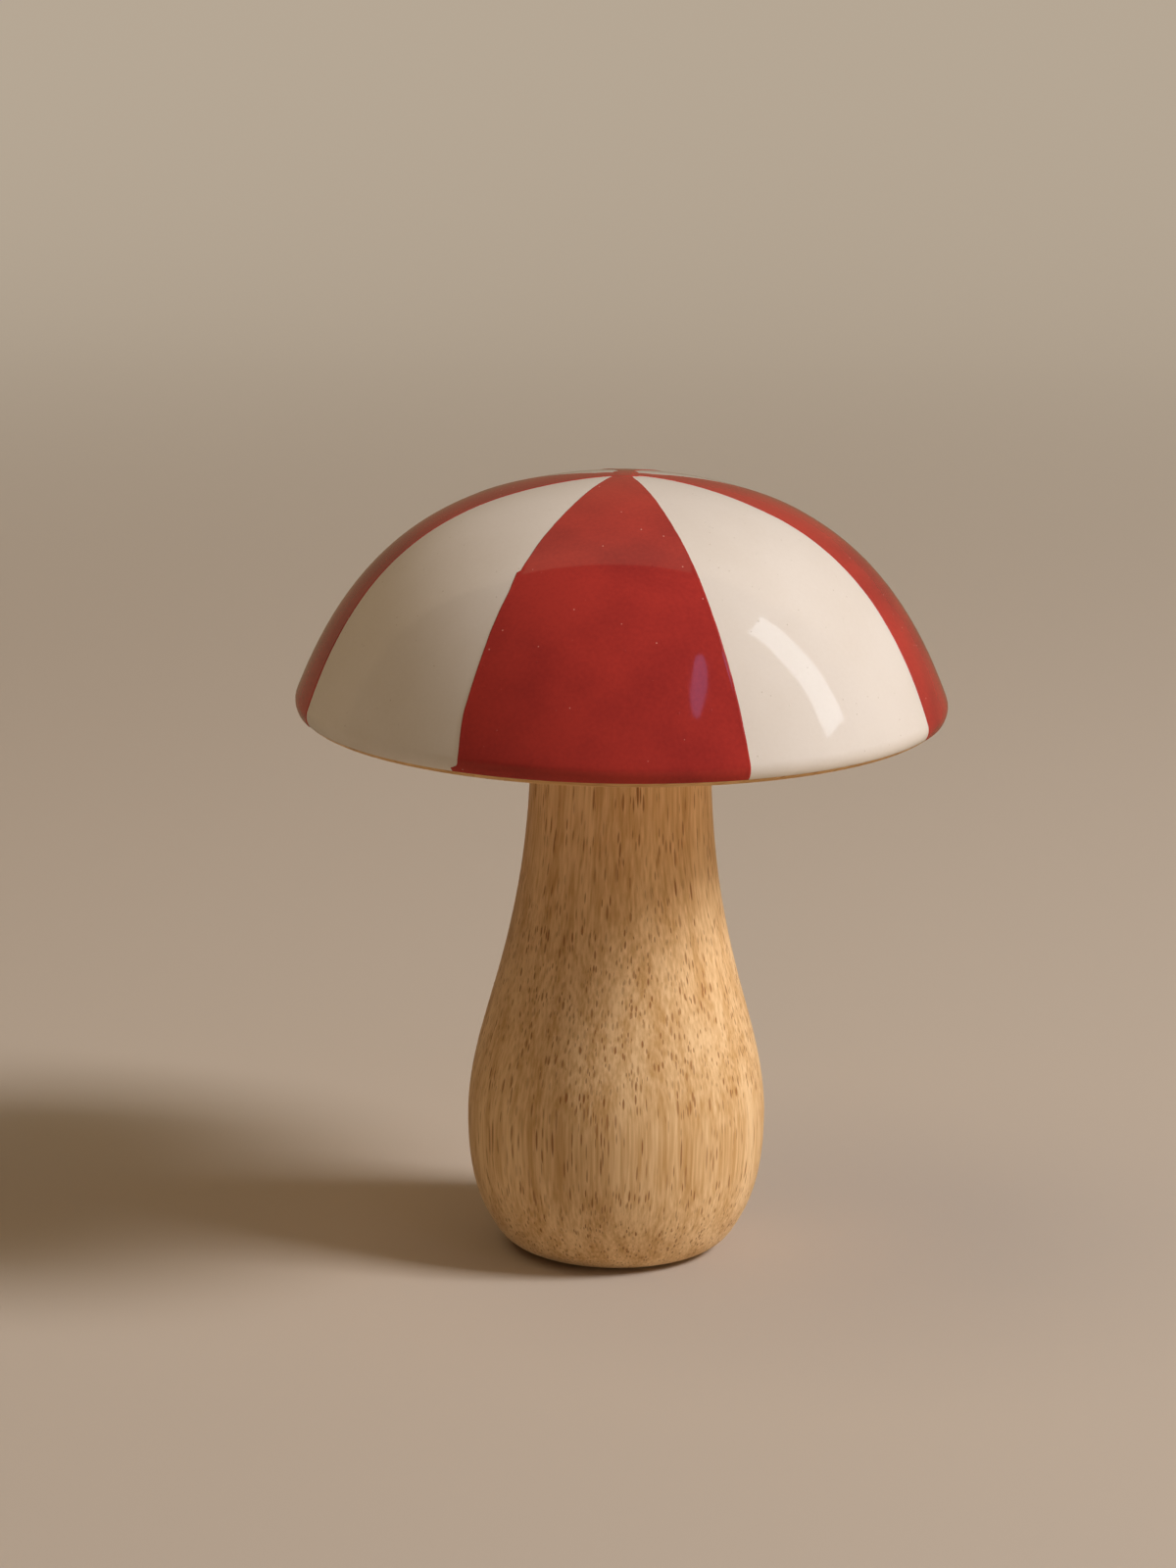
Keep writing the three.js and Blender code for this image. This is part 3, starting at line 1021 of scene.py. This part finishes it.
def lay_film(ways, left, right, foot):
    """A closed film between two painted lines, which are azimuths in degrees for (way, radius)."""
    bm = bmesh.new()
    upper_grid, lower_grid = [], []
    for way in ways:
        point = skin(way)
        start, end = left(way, point.x), right(way, point.x)
        width = math.radians(end - start) * point.x
        up, down = [], []
        for across in crowded(width, GORE_STEPS):
            turn = math.radians(start) + across / point.x
            inside = min(across, width - across, foot - way)
            upper = skin(way, CREAM_DEPTH + SUNK - film_height(inside))
            lower = skin(way, CREAM_DEPTH + SUNK + FILM_BACK)
            up.append(bm.verts.new(swollen(upper, turn, paint_swell)))
            down.append(bm.verts.new(swollen(lower, turn, paint_swell)))
        upper_grid.append(up)
        lower_grid.append(down)
    for grid in (upper_grid, lower_grid):
        for row, next_row in zip(grid, grid[1:]):
            for i in range(len(row) - 1):
                bm.faces.new((row[i], row[i + 1], next_row[i + 1], next_row[i]))
    above, below = border(upper_grid), border(lower_grid)
    for i in range(len(above)):
        j = (i + 1) % len(above)
        bm.faces.new((above[i], above[j], below[j], below[i]))
    return bm


def gore_ways():
    """Rows down a gore: even ones first, and at the foot as close together as at the edges."""
    start, foot = way_at_radius(GORE_START_R), way_on_lip(RED_FOOT_DEG)
    even = int((foot - start) / ROW_STEP)
    ways = [start + (foot - EDGE_STEPS[-1] - start) * i / even for i in range(even + 1)]
    return ways + [foot - step for step in reversed(EDGE_STEPS[:-1])], foot


# %% The four red gores
ways, foot = gore_ways()
for side in SIDES:
    film = lay_film(
        ways,
        lambda way, radius: line_azimuth(side, "left", way, radius),
        lambda way, radius: line_azimuth(side, "right", way, radius),
        foot,
    )
    add_piece(f"red_gore_{side}", film, red_enamel, [f"enamel_red_{side}"])

# %% [markdown]
# ## Where the reds run together
#
# The four gores end in one small round patch at the very top of the dome, where the painter closed
# the gap with a touch of the brush.

# %% The crown patch
SPOT_R = 1.5
SPOT_RISE = 0.03
SPOT_FLAT = 0.86
SPOT_EDGE_DROP = 0.1
SPOT_BACK = 0.25
SPOT_BACK_SHARE = 0.9
SPOT_COLUMNS = 48


def spot_outline():
    top = CREAM_DEPTH - RED_FILM - SPOT_RISE
    edge = way_at_radius(SPOT_R)
    roll = []
    for t in (0.3, 0.6, 0.85, 1.0):
        way = edge * (SPOT_FLAT + (1 - SPOT_FLAT) * t)
        roll.append(skin(way, top + SPOT_EDGE_DROP * (1 - math.sqrt(1 - t * t))))
    back = [skin(edge * SPOT_BACK_SHARE, SPOT_BACK), skin(0, SPOT_BACK)]
    return layer(0, edge * SPOT_FLAT, top, 6) + roll + back


spot = turned(spot_outline(), SPOT_COLUMNS)
add_piece("red_crown_patch", spot, red_enamel, ["enamel_crown_spot"])

# %% [markdown]
# ## The studio
#
# A plain pale floor that curves up behind the ornament and fades into one even tone for the camera.
# From below, the floor is clear, so that the underside can be looked at too.
#
# A soft key light stands on the right, half way up. A low, weaker one on the same side is its light
# bounced off the floor, and it reaches the neck under the cap. A broad warm fill hangs on the left.
# None of the three shows in the gloss. What shows there is a tall narrow window of light, which draws
# the long highlight, a small lilac card, and the sweep, which is darker low down than overhead. Its
# upper edge is the line across the front gore.

# %% Floor and sweep
PAPER = (0.56, 0.48, 0.38, 1)
PALE = (0.47, 0.39, 0.3, 1)
LOW_IN_GLOSS = (0.2, 0.145, 0.085, 1)
HIGH_IN_GLOSS = (0.5, 0.39, 0.26, 1)
FLOOR_DROP = 0.02 * MM
SWEEP_BACK = 1.5
SWEEP_CURVE = 0.6
SWEEP_HALF_W = 4.0
SWEEP_FRONT = -3.0
SWEEP_TOP = 6.2
BEND_STEPS = 24
FADE_FROM = 0.3
FADE_TO = 1.3
LOW_TONE_Z = 0.5
HIGH_TONE_Z = 4.5


def make_sweep():
    bm = bmesh.new()
    turns = [math.radians(90 * i / BEND_STEPS) for i in range(BEND_STEPS + 1)]
    bend_y = SWEEP_BACK - SWEEP_CURVE
    bend = [(bend_y + SWEEP_CURVE * math.sin(turn), SWEEP_CURVE * (1 - math.cos(turn))) for turn in turns]
    line = [(SWEEP_FRONT, 0)] + bend + [(SWEEP_BACK, SWEEP_TOP)]
    rows = [[bm.verts.new((x, y, z - FLOOR_DROP)) for x in (-SWEEP_HALF_W, SWEEP_HALF_W)] for y, z in line]
    for near, far in zip(rows, rows[1:]):
        bm.faces.new((near[0], near[1], far[1], far[0]))
    mesh = bpy.data.meshes.new("studio_sweep")
    bm.to_mesh(mesh)
    bm.free()
    mesh.shade_smooth()
    sweep = bpy.data.objects.new("studio_sweep", mesh)
    bpy.context.scene.collection.objects.link(sweep)
    material, tree = new_material("pale sweep")
    place = node(tree, "ShaderNodeTexCoord").outputs["Object"]
    up = node(tree, "ShaderNodeSeparateXYZ", [place]).outputs[2]
    away = vector_maths(tree, "LENGTH", place).outputs["Value"]
    path = node(tree, "ShaderNodeLightPath")
    in_gloss = path.outputs["Is Glossy Ray"]
    faded = ramp(tree, away, FADE_FROM, FADE_TO)
    to_camera = maths(tree, "MULTIPLY", path.outputs["Is Camera Ray"], faded)
    paper = node(tree, "ShaderNodeBsdfDiffuse", [PAPER])
    reflected = mix(tree, ramp(tree, up, LOW_TONE_Z, HIGH_TONE_Z), LOW_IN_GLOSS, HIGH_IN_GLOSS)
    glow = node(tree, "ShaderNodeEmission", [mix(tree, in_gloss, PALE, reflected), 1.0])
    share = maths(tree, "MAXIMUM", to_camera, in_gloss)
    surface = node(tree, "ShaderNodeMixShader", [share, paper.outputs[0], glow.outputs[0]])
    from_below = node(tree, "ShaderNodeNewGeometry").outputs["Backfacing"]
    clear = node(tree, "ShaderNodeBsdfTransparent")
    surface = node(tree, "ShaderNodeMixShader", [from_below, surface.outputs[0], clear.outputs[0]])
    node(tree, "ShaderNodeOutputMaterial", [surface.outputs[0]])
    mesh.materials.append(material)
    print("sweep:", SWEEP_BACK - SWEEP_FRONT, "m deep and", SWEEP_TOP, "m high")


make_sweep()

# %% Lights
DAY_WHITE = (0.95, 0.935, 1.0)
TAN_WHITE = (1.0, 0.75, 0.49)
COOL_WHITE = (0.8, 0.91, 1.0)
LILAC = (0.25, 0.45, 1.0)


def softbox(name, place, size, watts, colour, in_gloss, spin=0, shape="RECTANGLE"):
    """An area light at (azimuth, elevation, distance), of (width, height), all lengths in metres."""
    azimuth, elevation, distance = place
    data = bpy.data.lights.new(name, "AREA")
    data.shape = shape
    data.size, data.size_y = size
    data.energy = watts
    data.color = colour
    lamp = bpy.data.objects.new(name, data)
    away = towards(azimuth, elevation)
    lamp.location = Vector((0, 0, AIM_HEIGHT)) + away * distance
    lamp.rotation_mode = "QUATERNION"
    lamp.rotation_quaternion = away.to_track_quat("Z", "Y") @ Quaternion((0, 0, 1), math.radians(spin))
    lamp.visible_glossy = in_gloss
    bpy.context.scene.collection.objects.link(lamp)
    print(name, "light:", watts, "W")


softbox("key", (79, 41, 1.6), (0.42, 0.42), watts=20.0, colour=DAY_WHITE, in_gloss=False)
softbox("bounce", (78, 6, 1.5), (0.5, 0.4), watts=3.0, colour=TAN_WHITE, in_gloss=False)
softbox("fill", (-80, 66, 1.5), (1.0, 1.0), watts=4.6, colour=TAN_WHITE, in_gloss=False)
softbox("window", (88, 38, 1.4), (0.24, 0.8), watts=1.8, colour=COOL_WHITE, in_gloss=True)
softbox("card", (39, 46.5, 1.2), (0.11, 0.42), 0.17, LILAC, in_gloss=True, spin=-28, shape="ELLIPSE")

# %% The air
AIR = (1.0, 0.8, 0.58, 1)
AIR_STRENGTH = 0.1


def make_world():
    """Faint warm air that lights the ornament; the camera sees the sweep's pale tone instead."""
    world = bpy.data.worlds.new("studio air")
    world.use_nodes = True
    tree = world.node_tree
    tree.nodes.clear()
    camera_ray = node(tree, "ShaderNodeLightPath").outputs["Is Camera Ray"]
    air = node(tree, "ShaderNodeBackground", [AIR, AIR_STRENGTH])
    pale = node(tree, "ShaderNodeBackground", [PALE, 1.0])
    seen = node(tree, "ShaderNodeMixShader", [camera_ray, air.outputs[0], pale.outputs[0]])
    node(tree, "ShaderNodeOutputWorld", [seen.outputs[0]])
    return world


bpy.context.scene.world = make_world()
bpy.context.scene.view_settings.view_transform = "Standard"
print("air:", bpy.context.scene.world.name)
